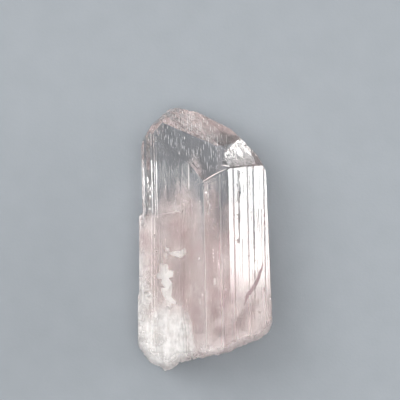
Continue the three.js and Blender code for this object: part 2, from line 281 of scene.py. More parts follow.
class Face:
    """One flat face, laid out in its own plane: x across it, y along the crystal."""

    def __init__(self, normal, points, segments):
        along = C_AXIS - (C_AXIS @ normal) * normal
        if np.linalg.norm(along) < END_SHARE:
            along = np.array([1.0, 0.0, 0.0]) - normal[0] * normal
        self.normal = normal
        self.along = along / np.linalg.norm(along)
        self.across = np.cross(self.along, normal)
        self.origin = points[segments[0][0]]
        self.numbers = sorted({i for segment in segments for i in segment})
        place = {number: k for k, number in enumerate(self.numbers)}
        self.segments = [(place[a], place[b]) for a, b in segments]
        self.flat = self.flattened(points[self.numbers])
        self.inner = []  # further points, as (x, y, height above the plane)
        self.creases = []  # edges between further points
        self.frost = []  # how frosted the surface is at each further point
        self.dust = []  # the corners of the white dust in each etch mark that holds some
        self.low, self.free = None, None  # a grid of the cells that are still free of marks
        self.worn = 0.0  # how frosted the whole face is

    def flattened(self, points):
        offset = points - self.origin
        return np.column_stack([offset @ self.across, offset @ self.along])

    def lifted(self, x, y, height=0.0):
        return self.origin + self.across * x + self.along * y + self.normal * height

    def add_point(self, spot):
        self.inner.append((spot[0], spot[1], 0.0))
        self.frost.append(0.0)

    def crossings(self, y):
        """Where the face's outline crosses the line at height y, from left to right."""
        a, b = (self.flat[[segment[k] for segment in self.segments]] for k in (0, 1))
        cut = (a[:, 1] > y) != (b[:, 1] > y)
        a, b = a[cut], b[cut]
        return np.sort(a[:, 0] + (y - a[:, 1]) / (b[:, 1] - a[:, 1]) * (b[:, 0] - a[:, 0]))

    def inside(self, spots):
        a, b = (self.flat[[segment[k] for segment in self.segments]] for k in (0, 1))
        found = np.zeros(len(spots), bool)
        for start in range(0, len(spots), AT_ONCE):
            part = spots[start : start + AT_ONCE]
            x, y = part[:, :1], part[:, 1:]
            rise = np.where(b[:, 1] == a[:, 1], TINY, b[:, 1] - a[:, 1])
            at = a[:, 0] + (y - a[:, 1]) / rise * (b[:, 0] - a[:, 0])
            found[start : start + AT_ONCE] = (((a[:, 1] > y) != (b[:, 1] > y)) & (x < at)).sum(axis=1) % 2
        return found

    def free_space(self, margin):
        """A grid of the cells that lie inside the face and clear of its edges."""
        low, high = self.flat.min(axis=0), self.flat.max(axis=0)
        size = np.ceil((high - low) / CELL).astype(int) + 1
        free = np.zeros(size, bool)
        for row in range(size[1]):
            cuts = self.crossings(low[1] + (row + 0.5) * CELL)
            for left, right in zip(cuts[::2], cuts[1::2]):
                ends = np.clip(np.round((np.array([left, right]) - low[0]) / CELL), 0, size[0])
                free[int(ends[0]) : int(ends[1]), row] = True
        reach = math.ceil(margin / CELL)
        for a, b in self.segments:
            count = max(2, math.ceil(np.linalg.norm(self.flat[b] - self.flat[a]) / CELL))
            for spot in np.linspace(self.flat[a], self.flat[b], count):
                x, y = ((spot - low) / CELL).astype(int)
                free[max(x - reach, 0) : x + reach + 1, max(y - reach, 0) : y + reach + 1] = False
        return low, free

    def sink(self, spot, long, wide, deep, tilt, frost, sides):
        """Sinks one spindle-shaped mark into the face, if the space is free. Returns its corners."""
        if self.free is None:
            self.low, self.free = self.free_space(EDGE_MARGIN)
        count = max(2, math.ceil(long / CELL))
        run = np.linspace(-0.5, 0.5, count) * long
        ends = np.column_stack([spot[0] + run * tilt, spot[1] + run])
        x, y = ((ends - self.low) / CELL).astype(int).T
        reach = math.ceil((wide / 2 + CELL) / CELL)
        size = self.free.shape
        if min(x) < reach or max(x) + reach >= size[0] or min(y) < 0 or max(y) >= size[1]:
            return []
        band = x[:, None] + np.arange(-reach, reach + 1)
        if not self.free[band, y[:, None]].all():
            return []
        self.free[band, y[:, None]] = False
        first = len(self.inner)
        bulge = {-1: -wide * sides[0], 0: 0, 1: wide * sides[1]}
        for t, side, height in SPINDLE:
            self.inner.append((spot[0] + bulge[side] + t * long * tilt, spot[1] + t * long, height * deep))
            self.frost.append(frost)
        ring = [first + k for k in range(MARK_RIM)]
        self.creases += list(zip(ring, ring[1:] + ring[:1])) + [(first + MARK_RIM, first + MARK_RIM + 1)]
        return self.inner[first:]

    def filling(self, spot, corners):
        """The corners of what fills a mark almost up to the face."""
        middle = np.array([*spot, -DUST_DEPTH])
        corners = middle + (np.array(corners) - (*spot, 0.0)) * DUST_SHRINK
        return [self.lifted(*corner) for corner in corners]

    def etch(self, rng, tries, length, width, depth, frost, dusty=0.0, wanted=None):
        """Scatters etch marks over the face, along the crystal, none touching another."""
        if self.free is None:
            self.low, self.free = self.free_space(EDGE_MARGIN)
        cells = np.argwhere(self.free)
        if not len(cells):
            return
        for _ in range(tries):
            spot = self.low + (cells[rng.integers(len(cells))] + rng.random(2)) * CELL
            if wanted and rng.random() > wanted(*self.lifted(*spot)[:2]):
                continue
            long = length[0] * (length[1] / length[0]) ** rng.random()
            wide, deep, tilt = rng.uniform(*width), rng.uniform(*depth), rng.normal(0.0, MARK_TILT)
            corners = self.sink(spot, long, wide, deep, tilt, frost, rng.uniform(*MARK_SIDES, 2))
            if corners and rng.random() < dusty:
                self.dust.append(self.filling(spot, corners))

    def filled(self):
        """The face's triangles. Returns its new points, then its triangles with the frost of each."""
        border = len(self.numbers)
        spots = [Vector(p) for p in self.flat] + [Vector(p[:2]) for p in self.inner]
        edges = self.segments + [(a + border, b + border) for a, b in self.creases]
        made, lines, triangles, sources, line_sources, _ = delaunay_2d_cdt(spots, edges, [], 0, SAME_PLACE)
        outline = [min(source, default=len(edges)) < len(self.segments) for source in line_sources]
        triangles = within(triangles, {frozenset(line) for line, wall in zip(lines, outline) if wall})
        if not triangles:
            return [], [], []
        heights = np.array([0.0] * border + [p[2] for p in self.inner])
        frost = np.array([0.0] * border + self.frost)
        made = np.array(made)
        source = np.array([s[0] if s else -1 for s in sources])
        corners = np.array(triangles)
        sunk = np.array([heights[s] if s >= 0 else 0.0 for s in source])
        frosted = np.array([frost[s] if s >= 0 and heights[s] < 0 else 0.0 for s in source])
        number, new = {}, []
        for k in np.unique(corners):
            s = source[k]
            if 0 <= s < border:
                number[k] = self.numbers[s]
            else:
                number[k] = -1 - len(new)
                new.append(self.lifted(*made[k], sunk[k]))
        frosted = np.maximum(frosted[corners].max(axis=1), self.worn)
        return new, [[number[k] for k in c] for c in corners], frosted.tolist()


def within(triangles, walls):
    """The triangles that lie inside the walls: every wall that is crossed on the way in or out counts."""
    beside = sides_of(triangles)
    inside = {}
    waiting = [(pair[0], line in walls) for line, pair in beside.items() if len(pair) == 1]
    while waiting:
        t, state = waiting.pop()
        if t in inside:
            continue
        inside[t] = state
        for i in range(3):
            line = frozenset((triangles[t][i], triangles[t][i - 1]))
            waiting += [(other, state != (line in walls)) for other in beside[line] if other not in inside]
    return [corners for t, corners in enumerate(triangles) if inside.get(t)]


def crystal_surface(rng):
    """All points and triangles of the crystal's outside, how frosted each is, and the dust in its marks."""
    points, triangles = welded_triangles("crystal")
    groups, group_of, neighbours = flat_faces(points, triangles)
    rough = [area < LARGE_FACE and abs(normal @ C_AXIS) > BREAK_SHARE for normal, _, area in groups]
    points, chains = split_edges(points, group_of, neighbours, rough)
    moved, worn = worn_points(points, chains, triangles, groups, group_of, neighbours, rough)
    finished, faces, frost, dust = [moved], [], [], []
    count = len(moved)
    for g, (normal, members, area) in enumerate(groups):
        segments = []
        for t in members:
            for i in range(3):
                chain = chains.get(frozenset((triangles[t][i], triangles[t][i - 1])))
                if chain:
                    segments += list(zip(chain, chain[1:]))
        face = Face(normal, points if rough[g] else moved, segments)
        if rough[g]:
            scatter_over(face, rng, ROUGH_STEP if normal @ C_AXIS < -END_SHARE else CHIP_STEP)
        else:
            wear_band(face, worn)
            etch_face(face, normal, area, rng)
        new, corners, marked = face.filled()
        if rough[g] and new:
            depths = [break_depth(p, -normal) for p in new]
            new = [p - normal * depth for p, depth in zip(new, depths)]
        faces += [[k if k >= 0 else count - 1 - k for k in c] for c in corners]
        frost += [break_frost(normal) if rough[g] else m for m in marked]
        dust += face.dust
        if new:
            finished.append(np.array(new))
            count += len(new)
    return np.clip(np.vstack(finished), LOW, HIGH), faces, frost, dust


def scatter_over(face, rng, step):
    """Points spread over a piece of broken surface, about as far apart as those on its edges."""
    low, high = face.flat.min(axis=0), face.flat.max(axis=0)
    size = np.maximum(np.ceil((high - low) / step).astype(int), 1)
    grid = np.stack(np.meshgrid(*(np.arange(n) for n in size), indexing="ij"), axis=-1).reshape(-1, 2)
    spots = low + (grid + 0.5 + rng.uniform(-SCATTER, SCATTER, grid.shape)) * step
    spots = spots[face.inside(spots)]
    for spot in spots:
        if np.linalg.norm(face.flat - spot, axis=1).min() > step * SCATTER_CLEAR:
            face.add_point(spot)


def wear_band(face, worn):
    """A row of points beside each worn edge, where the wear ends and the flat face begins."""
    for a, b in face.segments:
        if face.numbers[a] not in worn or face.numbers[b] not in worn:
            continue
        run = face.flat[b] - face.flat[a]
        length = np.linalg.norm(run)
        if length < SHORT_EDGE:
            continue
        sideways = np.array([-run[1], run[0]]) / length * WEAR_WIDTH
        middle = (face.flat[a] + face.flat[b]) / 2
        for side in (sideways, -sideways):
            spot = middle + side
            if face.inside(spot[None])[0]:
                face.add_point(spot)


def break_frost(normal):
    return BASE_FROST if normal @ C_AXIS < 0 else CHIP_FROST


def tip_marks(x, y):
    """The marks crowd on the left of the sloping face and thin out to the right."""
    return streaks(x, y, TIP_NOISE) * np.interp(x, *TIP_CROWD)


def upper_marks(x, y):
    """On the prism faces the marks crowd below the tip, on the left and in front."""
    streak = streaks(x, y, UPPER_NOISE)
    return streak * ramp(y, *UPPER_FROM) * ramp(x, *UPPER_RIGHT) * ramp(x, *UPPER_LEFT)


# The marks on each kind of face: how many are tried, the limits of their length, width and depth, how
# frosted they are, the share of them that holds dust, and what says where they are wanted.
DULL_MARKS = (400, (0.3, 1.8), (0.06, 0.12), (0.03, 0.06), 0.3, 0.6, upper_marks)
LONG_LINES = ((3.0, 22.0), (0.1, 0.18), (0.015, 0.03), 0.0)
SHORT_LINES = ((0.4, 2.5), (0.08, 0.14), (0.02, 0.04), 0.1, 0.1)
ETCHING = {
    "tip": [(1700, (1.2, 6.0), (0.05, 0.09), (0.04, 0.08), 0.4, 0.75, tip_marks),
            (400, (0.25, 0.8), (0.08, 0.13), (0.04, 0.08), 0.4, 0.4, tip_marks)],
    "right": [DULL_MARKS, (20, *LONG_LINES), (20, *SHORT_LINES)],
    "prism": [DULL_MARKS, (80, *LONG_LINES), (80, *SHORT_LINES)],
    "other": [(200, (0.4, 1.6), (0.1, 0.2), (0.03, 0.06), 0.2)],
}


def kind_of_face(normal):
    if normal @ C_AXIS > TIP_FACE[0] and normal[2] > TIP_FACE[1]:
        return "tip"
    if abs(normal @ C_AXIS) < END_SHARE:
        return "right" if normal[0] > RIGHT_FACE and normal[2] > 0.0 else "prism"
    return "other"


def etch_face(face, normal, area, rng):
    """The marks that the solution left on a face, or the frost on the wall of a groove."""
    if area >= ETCHED_FACE:
        for marks in ETCHING[kind_of_face(normal)]:
            face.etch(rng, *marks)
    elif groove_wall(face, normal, area):
        face.worn = GROOVE_FROST


def groove_wall(face, normal, area):
    """Whether this is a wall of one of the grooves that are worn, on the right face."""
    if normal[0] < GROOVE_WALL[0] or normal[2] < GROOVE_WALL[1] or abs(normal @ C_AXIS) > END_SHARE:
        return False
    middle = face.lifted(*face.flat.mean(axis=0))
    narrow = area / np.ptp(face.flat[:, 1]) < GROOVE_WIDTH
    return narrow and not any(abs(middle[0] - x) < GROOVE_WIDTH for x in SHARP_GROOVES)


# The faces of the dust in a mark, between the corners of SPINDLE.
DUST_FACES = [(0, 2, 1), (0, 3, 2), (0, 4, 3), (0, 5, 4), (0, 1, 6), (1, 2, 7), (1, 7, 6), (2, 3, 7),
              (3, 4, 7), (4, 5, 6), (4, 6, 7), (5, 0, 6)]


def etch_dust(marks, material):
    """White dust that has settled in the etch marks."""
    faces = [tuple(len(SPINDLE) * k + i for i in face) for k in range(len(marks)) for face in DUST_FACES]
    return add_piece("etch_dust", np.vstack(marks), faces, material)


# ---- cracks, veils and milk inside -----------------------------------------------------------------
# Each crack: where it runs, seen from above, how far it starts below the surface, how far down it
# reaches, and how far it drifts to the side on the way down.
CRACKS = [
    ([(-9.9, 4.0), (-8.9, 3.4), (-7.8, 2.3), (-6.8, 1.3)], 0.3, 2.0, (0.2, 0.1)),
    ([(-13.3, 4.8), (-13.1, 3.8), (-12.8, 3.0)], 0.25, 1.4, (0.3, 0.0)),
    ([(-2.6, 16.7), (-2.0, 15.9), (-1.4, 15.6)], 0.2, 1.0, (0.1, 0.3)),
]
# The fracture that is stained brown, and the small ones near it, in the same way.
STAINED_CRACKS = [
    ([(13.0, -3.4), (12.4, -5.6), (11.5, -8.0), (10.0, -10.7), (8.9, -12.0)], 0.13, 0.8, (-0.5, -0.1)),
    ([(13.4, -9.4), (13.2, -10.4)], 0.13, 0.4, (0.2, 0.1)),
    ([(13.0, -12.4), (12.8, -14.1)], 0.13, 0.4, (-0.3, 0.1)),
    ([(-12.9, -8.6), (-12.0, -9.3), (-11.3, -10.0)], 0.12, 0.4, (0.2, 0.3)),
]
# Where the stained fractures come out on the front right face, each as its outline seen from above.
STAINS = [
    [(12.25, -4.7), (11.66, -6.0), (11.07, -7.4), (10.55, -8.7), (9.76, -9.65), (9.03, -10.6), (8.5, -11.65),
     (8.29, -13.1), (8.5, -13.25), (8.85, -12.1), (9.4, -11.3), (10.15, -10.3), (10.9, -9.4), (11.4, -8.5),
     (11.8, -7.3), (12.1, -6.0), (12.4, -4.8)],
    [(12.5, -9.7), (12.45, -10.6), (12.65, -10.8), (12.7, -9.9)],
    [(11.2, -12.4), (11.15, -13.3), (11.25, -13.3), (11.32, -12.5)],
    [(12.45, 6.1), (12.4, 5.2), (12.6, 4.9), (12.7, 5.8)],
    [(12.55, 4.5), (12.5, 3.5), (12.75, 3.2), (12.8, 4.3)],
    [(9.9, -2.9), (8.7, -2.75), (8.7, -2.87), (9.9, -3.02)],
]
STAIN_HEIGHT = 0.02
STAIN_THICKNESS = 0.02
CRACK_STEP = 0.3
CRACK_GAPE = 0.03
CRACK_WAVER = (0.9, 0.3)  # scale and size of the coarse noise that shakes a crack
CRACK_HACKLE = (2.4, 0.12)  # and of the fine one
CRACK_RAGGED = (0.7, 0.55, 0.45)  # scale of the noise in how far down it reaches, the mean, and the change
GLINTS = 90  # small flat cracks scattered through the milk
GLINT_SIZE = (0.25, 0.9)
GLINT_TILT = (35.0, 70.0)  # degrees
GLINT_CORNERS = 7
GLINT_MILK = 0.25  # they lie where there is at least this much milk
GLINT_CLEAR = 1.2
RAGGED = (0.6, 1.2)  # how far out the corners of glints and flakes lie, as shares
NARROW = 0.6  # the width of a glint, as a share of its length

# The white veils, each as its outline seen from above.
VEILS = {
    "wedge_veil": [(-7.4, -2.2), (-6.6, -1.8), (-5.2, -1.6), (-4.1, -1.0), (-3.8, -1.7), (-4.0, -2.3),
                   (-4.5, -2.7), (-5.0, -3.2), (-6.0, -2.9), (-7.0, -2.7)],
    "tuft_veil": [(-8.3, -1.0), (-7.6, -1.2), (-7.3, -1.7), (-7.7, -2.0), (-8.2, -1.7)],
    "hook_veil": [(-8.4, -2.3), (-7.9, -2.4), (-7.9, -3.4), (-8.3, -3.6)],
    "tall_veil": [(-9.5, -4.7), (-7.8, -4.6), (-7.7, -5.8), (-6.5, -6.0), (-6.6, -7.2), (-7.6, -7.5),
                  (-6.8, -8.6), (-6.9, -10.7), (-7.1, -11.2), (-6.0, -12.4), (-6.1, -12.9), (-7.1, -13.0),
                  (-7.3, -13.9), (-7.9, -13.6), (-8.3, -12.2), (-9.2, -10.5), (-9.1, -9.8), (-8.3, -9.6),
                  (-9.2, -8.8), (-9.0, -7.9), (-9.8, -8.1), (-10.4, -7.4), (-9.6, -6.5)],
}
# Fine white threads just below the surface, and painted highlights drawn as threads: each one's path, seen
# from above, and its width.
THREADS_AND_PAINTED_GLINTS = [
    # Along the front edge: a white line that paints the highlight on that edge.
    ([(-0.33, 12.0), (-0.12, 2.0), (0.1, -8.0), (0.3, -18.0), (0.42, -23.0)], 0.08),
    ([(-3.45, 16.9), (-3.4, 14.0), (-3.36, 11.2)], 0.28),
    ([(-4.7, 16.0), (-4.66, 13.4)], 0.12),
    ([(-9.3, 0.5), (-9.1, -7.0)], 0.1),
    ([(-9.75, 3.0), (-9.5, -9.0)], 0.1),
    ([(-10.35, -2.0), (-10.1, -12.0)], 0.1),
    ([(-8.9, 5.8), (-7.5, 6.2), (-6.0, 6.6), (-4.8, 6.5)], 0.1),
    # The next three, short and wide, are painted glints: white dots where light sparkles.
    ([(-6.2, 6.6), (-5.8, 6.8)], 0.4),
    ([(-4.6, 8.1), (-4.4, 8.4)], 0.3),
    ([(-10.5, -2.4), (-10.0, -2.1)], 0.4),
    ([(-1.2, 9.3), (-0.9, 8.9)], 0.2),
    ([(-0.5, 13.3), (0.8, 14.1), (2.8, 15.1), (4.6, 15.8)], 0.22),
    ([(3.2, 16.5), (4.4, 16.4), (5.2, 16.1)], 0.25),
    ([(0.42, 12.9), (0.5, 11.3)], 0.22),
    ([(0.62, 11.2), (0.68, 9.8)], 0.26),
    ([(0.55, 9.6), (0.66, 8.4)], 0.2),
    ([(0.9, 8.9), (0.95, 7.4)], 0.24),
    ([(0.7, 7.6), (0.8, 6.2)], 0.2),
]
THREAD_STEP = 1.0
THREAD_DEPTH = 0.1
# The grey film that lies against the back of the tip, on the right, is painted shade: a dark sheet where the
# tip shows only shade.
PAINTED_SHADE_FILM = [(1.73, 16.84), (3.43, 19.84), (4.9, 20.6), (6.5, 20.8), (7.2, 19.8), (6.6, 17.9), (5.4, 15.6),
             (4.5, 14.1)]
SHADE_FILM_DEPTH = 0.15  # above the back
# The bruise below the chipped shoulder: a white sheet of fine cracks that also paints the chip's bright
# sheen.
BRUISE_AND_PAINTED_SHEEN = [(3.9, 18.5), (4.8, 16.1), (8.0, 16.1), (10.6, 16.3), (10.4, 17.2), (8.8, 19.4), (6.9, 21.3),
          (5.5, 20.3)]
VEIL_DEPTH = 0.45
VEIL_FOLDS = 0.12  # how high the folds of a veil are
COARSE_FOLDS, FINE_FOLDS = (4.0, 0.9), (3.0, 2.6)  # place and scale of the noise in them
FINE_FOLD_SHARE = 0.36
VEIL_THICKNESS = 0.1
VEIL_STEP = 0.28
VEIL_CLEAR = 0.5  # the least distance of a veil's inner points from its outline, as a share of the step
VEIL_FRAY = 0.07  # how ragged a veil's outline is
FRAY_SCALE = 2.1

# Seen from above, the milk begins along this line, from the left side to the right.
MILK_LINE = [(-14.4, 3.6), (-11.6, 4.0), (-8.5, 8.0), (-5.3, 10.4), (-3.2, 13.4), (-1.2, 13.0), (-0.4, 9.0),
             (2.2, 6.8), (4.0, 9.4), (5.3, 9.4), (7.4, 3.0), (12.7, -8.5), (14.5, -10.0)]
MILK_RISE = 5.0  # over what length it grows dense
MILK_FRAY = 2.5  # how far its wisps carry that line up and down
MILK_WISPS, MILK_PATCHES = 2.2, 3.0  # how wide its wisps and patches are
MILK_SHARES = (0.75, 0.5, 0.9)  # how dense it usually is, and how far wisps and patches change that
MILK_LEAST = 0.2
PATCHES_AT, MASS_AT, MAUVE_AT = 30.0, 9.0, 50.0  # places in the noise, which keep these apart
PATCH_PRESS = 1.8  # patches are this much shorter than wisps
WISP_PRESS = 0.22  # how wisps are drawn out along the crystal
FINE_WISPS, FINE_WISP_SHARE = 2.9, 0.5  # the scale of finer ones, and how strong they are
THIN_MILK = (2.0, 3.5, 2.6, 4.5)  # where it is thinner: the middle, and the half width and half length
THIN_EDGE = (0.5, 1.3)  # where it is thinnest, and where it is whole again, as shares of that size
THINNEST = 0.35
# Where it is darker, in the same way.
MAUVE_CLOUDS = [(1.8, 1.5, 2.4, 4.4), (0.9, -4.5, 0.9, 4.0), (5.0, -8.2, 1.7, 3.4), (-5.3, -7.5, 1.0, 4.2),
                (-2.0, -17.0, 1.7, 4.0), (3.6, -19.0, 1.8, 3.0), (2.4, -11.8, 2.2, 3.0),
                (-6.3, 2.0, 1.6, 2.4)]
MAUVE_EDGE = (1.5, 0.4)  # where these clouds end, and where they are whole, as shares of their size
MAUVE_WISPS = 1.6
MAUVE_SHARES = (0.25, 0.85, 0.9)  # how dark it is elsewhere, and how far the clouds and wisps change that
# The dense white clouds at the lower left: the middle of each, and its half width and half length.
WHITE_CLOUDS = [(-5.0, -18.0, 2.0, 2.6), (-5.3, -21.5, 2.8, 2.8), (-9.2, -23.2, 3.4, 2.4),
                (-8.5, -25.6, 3.6, 1.8), (-8.8, -17.0, 1.4, 3.0), (-12.0, -21.0, 1.6, 4.4),
                (-12.6, -12.0, 1.2, 4.0)]
WHITE_EDGE = (1.35, 0.55)
# Thinner ones elsewhere, in the same way.
PALE_CLOUDS = [(-1.9, -10.3, 1.3, 1.8), (-1.0, -4.5, 1.0, 2.0), (3.6, -3.8, 1.3, 2.4), (9.3, -5.0, 2.4, 3.0),
               (2.6, -8.8, 1.6, 1.0), (11.6, -15.0, 2.4, 3.4), (7.4, -12.0, 1.4, 2.4), (-8.6, 1.0, 1.8, 2.4),
               (3.6, -16.3, 1.8, 0.8), (-10.6, 1.0, 1.5, 3.0), (12.0, -7.0, 1.3, 4.6),
               (-4.2, -2.6, 1.2, 1.2)]
PALE_EDGE = (1.7, 0.0)
PALE_WHITE = 0.26  # how white they are
MASS_WHITE = 0.8  # how white the mass between the dense clouds is
MASS_TOP, MASS_RIGHT = (-10.0, -18.0), (-4.6, -6.4)  # where it begins, and where it is whole
MASS_SLOPE = 0.15
MASS_FRAY, MASS_WISPS = 2.0, 1.5  # how far wisps carry its upper end up and down, and how wide they are
# How white the white milk usually is, how far its wisps change that, how wide they are, and the least.
EVEN_WHITE, UNEVEN_WHITE = (0.95, 0.4, 2.6, 0.5), (0.95, 0.7, 1.8, 0.3)
SIDE_WHITE, RIM_WHITE, BASE_WHITE = 0.12, 0.5, 0.5  # and the left side, its outermost strip and the base
SIDE_TOP, SIDE_RIGHT, RIM_RIGHT, BASE_TOP = (2.0, -4.0), (-3.0, -6.0), (-10.8, -12.2), (-19.0, -23.0)
# The milk is a stack of thin sheets of cloud; each lies at one share of the way from the back surface
# to the front one.
CLOUD_SHARES = (0.08, 0.22, 0.38, 0.54, 0.68, 0.8, 0.89, 0.95, 0.975)
CLOUD_STEP = 0.6
CLOUD_SHAKE = 0.3
SHAKE_SCALE, SHAKE_APART = 0.6, 20.0
CLOUD_THICKNESS = 0.03
CLOUD_RIM = 0.4  # how dense a sheet still is at its border, as a share
THIN = 2.5  # where the crystal is thinner than this, there is no cloud in it
PINK_CLOUD = 0.16  # how much a sheet hides where the milk is dense
WHITE_CLOUD = 0.9  # and where it is white
WHITE_TINT = 2.0  # how much sooner it turns white than dense
GRAINS = 1500  # of each colour
PINK_GRAIN_SIZE = (0.2, 1.2), (0.04, 0.1)  # the limits of their length and width
WHITE_GRAIN_SIZE = (0.2, 1.0), (0.05, 0.12)
GRAIN_FACES = 4  # of each one's mesh
GRAIN_DEPTH = 0.15  # the least depth below the surface
GRAIN_FLAT = 5.0  # how many times as wide as high a grain is
GRAIN_STRAY = 0.22  # how far the grains stray from the crystal's length, as a slope
WHITE_FLAKES = 24
FLAKE_SIZE, FLAKE_DEPTH = (0.5, 2.6), (0.25, 2.2)  # the limits
FLAKE_THICKNESS = 0.05
FLAKE_SLOPE = 0.3
FLAKE_SIDES = (6, 10)
FLAKE_WIDTH = 0.55  # as a share of its length
FLAKE_CLEAR = 0.3
FLAKE_SHIFT = 0.25  # how far its corners stray round it, as a share of the space between them
FLAKE_RUMPLE = 0.05  # and up or down
RAY_START = 5.0  # how far outside the crystal's box the rays to it begin


class Inside:
    """Tells where the inside of the crystal is."""

    def __init__(self, points, triangles):
        corners = [tuple(map(int, t)) for t in triangles]
        self.tree = BVHTree.FromPolygons([Vector(p) for p in points], corners)

    def clear(self, spot, margin):
        """Whether a point lies inside, this far below and above the surface and further from the base."""
        start = Vector(spot)
        for way, needed in ((UP, margin), (-UP, margin), (TO_BASE, NOTCH_DEPTH + margin)):
            _, normal, _, distance = self.tree.ray_cast(start, way)
            if distance is None or distance < needed or normal.dot(way) < 0:
                return False
        return True

    def bottom(self, x, y):
        """The height of the surface, seen from below."""
        spot, *_ = self.tree.ray_cast(Vector((x, y, LOW[2] - RAY_START)), UP)
        return spot[2] if spot else 0.0

    def top(self, x, y):
        """The height of the surface, seen from above."""
        spot, *_ = self.tree.ray_cast(Vector((x, y, HIGH[2] + RAY_START)), -UP)
        return spot[2] if spot else 0.0


def border_of(faces):
    return {i for side, pair in sides_of(faces).items() if len(pair) == 1 for i in side}


def split_bridges(points, faces, border):
    """Splits each edge that runs from border to border, so the two skins don't touch there."""
    bridges = True
    while bridges:
        bridges = {side: pair for side, pair in sides_of(faces).items() if len(pair) == 2 and side <= border}
        split = set()
        for side, pair in bridges.items():
            if split & set(pair):
                continue
            split |= set(pair)
            points.append(np.mean([points[i] for i in side], axis=0))
            for n in pair:
                k = [corner in side for corner in faces[n]].index(False)
                tip, left, right = faces[n][k], faces[n][k - 2], faces[n][k - 1]
                faces[n] = (tip, left, len(points) - 1)
                faces.append((tip, len(points) - 1, right))


def closed_sheet(points, faces, gape):
    """A thin lens over a sheet of points: two skins, gape apart, that meet at the sheet's border.

    What a point holds beside its place, such as a density, is kept on both skins.
    """
    points, faces = [np.array(point, float) for point in points], [tuple(face) for face in faces]
    border = border_of(faces)
    split_bridges(points, faces, border)
    points = np.array(points)
    places = points[:, :3]
    normals = np.zeros_like(places)
    for a, b, c in faces:
        normals[[a, b, c]] += np.cross(places[b] - places[a], places[c] - places[a])
    normals /= np.maximum(np.linalg.norm(normals, axis=1), TINY)[:, None]
    inner = [i for i in range(len(points)) if i not in border]
    back = {i: len(points) + k for k, i in enumerate(inner)}
    front, rear = points.copy(), points[inner]
    front[inner, :3] += normals[inner] * gape / 2
    rear[:, :3] -= normals[inner] * gape / 2
    skins = faces + [tuple(back.get(i, i) for i in reversed(face)) for face in faces]
    return np.vstack([front, rear]), skins


def grid_faces(rows, columns):
    faces = []
    for r in range(rows - 1):
        for c in range(columns - 1):
            corner = r * columns + c
            faces.append((corner, corner + 1, corner + columns))
            faces.append((corner + 1, corner + columns + 1, corner + columns))
    return faces


def joined(sheets):
    """Several sheets, each as its points and its faces, as one."""
    points, faces, count = [], [], 0
    for sheet, skins in sheets:
        faces += [tuple(i + count for i in skin) for skin in skins]
        points.append(sheet)
        count += len(sheet)
    return np.vstack(points), faces


def laid_out(path):
    """The points of a path, and how far along it each one lies."""
    path = np.array(path)
    runs = np.linalg.norm(np.diff(path, axis=0), axis=1)
    return path, np.concatenate([[0.0], np.cumsum(runs)])


def crack_sheet(inside, path, start, reach, drift):
    """A hackly sheet that goes down into the crystal from a line just below its surface."""
    path, along = laid_out(path)
    rows, columns = (max(3, math.ceil(size / CRACK_STEP)) for size in (along[-1], reach))
    scale, mean, change = CRACK_RAGGED
    points = []
    for s in np.linspace(0.0, along[-1], rows):
        x, y = (np.interp(s, along, path[:, k]) for k in (0, 1))
        top = inside.top(x, y) - start
        ragged = reach * (mean + change * noise.noise(Vector((s * scale, reach, 2.0))))
        for t in np.linspace(0.0, ragged, columns):
            spot = Vector((x + drift[0] * t, y + drift[1] * t, top - t))
            waver = noise.noise_vector(spot * CRACK_WAVER[0]) * CRACK_WAVER[1]
            waver += noise.noise_vector(spot * CRACK_HACKLE[0]) * CRACK_HACKLE[1]
            points.append(np.array(spot) + np.array(waver) * (1.0, 1.0, 0.0))
    return closed_sheet(points, grid_faces(rows, columns), CRACK_GAPE)


def stained_cracks(inside, material):
    sheets = [crack_sheet(inside, *crack) for crack in STAINED_CRACKS]
    return add_piece("stained_cracks", *joined(sheets), material)


def glint_sheet(inside, rng):
    """A small flat crack, tilted so that it throws light to the front."""
    while True:
        spot = rng.uniform(LOW, HIGH)
        if milk(*spot) > GLINT_MILK and inside.clear(spot, GLINT_CLEAR):
            break
    size = rng.uniform(*GLINT_SIZE)
    tilt, turn = math.radians(rng.uniform(*GLINT_TILT)), rng.uniform(0.0, 2.0 * math.pi)
    steep = np.array([math.cos(turn) * math.cos(tilt), math.sin(turn) * math.cos(tilt), math.sin(tilt)])
    level = np.array([-math.sin(turn), math.cos(turn), 0.0])
    ring = []
    for k in range(GLINT_CORNERS):
        angle = 2.0 * math.pi * k / GLINT_CORNERS
        far = size / 2 * rng.uniform(*RAGGED)
        ring.append(spot + far * (math.cos(angle) * steep + NARROW * math.sin(angle) * level))
    return closed_sheet([spot, *ring], fan(GLINT_CORNERS), CRACK_GAPE)


def fan(corners):
    """The faces between a middle point, the first, and the ring of corners that follows it."""
    return [(0, k + 1, (k + 1) % corners + 1) for k in range(corners)]


def wisps(x, y, z, size):
    """Noise that is drawn out along the crystal, from about -1 to 1."""
    spot = Vector((x, y * WISP_PRESS, z)) / size
    return noise.noise(spot) + FINE_WISP_SHARE * noise.noise(spot * FINE_WISPS)


def limited(value, least):
    """The value, but no less than this, and no more than 1."""
    return min(1.0, max(least, value))


def milk(x, y, z):
    """From 0 in the clear tip to 1 in the milky part, in wisps that follow the crystal's length."""
    usual, by_wisp, by_patch = MILK_SHARES
    wisp = wisps(x, y, z, MILK_WISPS)
    patch = wisps(x, PATCH_PRESS * y, PATCHES_AT, MILK_PATCHES)
    line = np.interp(x, *zip(*MILK_LINE))
    front = ramp(line - y + MILK_FRAY * wisp, 0.0, MILK_RISE)
    thin = ramp(blob_distance(x, y, THIN_MILK), *THIN_EDGE)
    amount = limited(usual + by_wisp * wisp + by_patch * patch, MILK_LEAST)
    return front * amount * (THINNEST + (1.0 - THINNEST) * thin)


def blob_distance(x, y, blob):
    """The distance from a blob's middle, where 1 is its rim."""
    return math.hypot((x - blob[0]) / blob[2], (y - blob[1]) / blob[3])


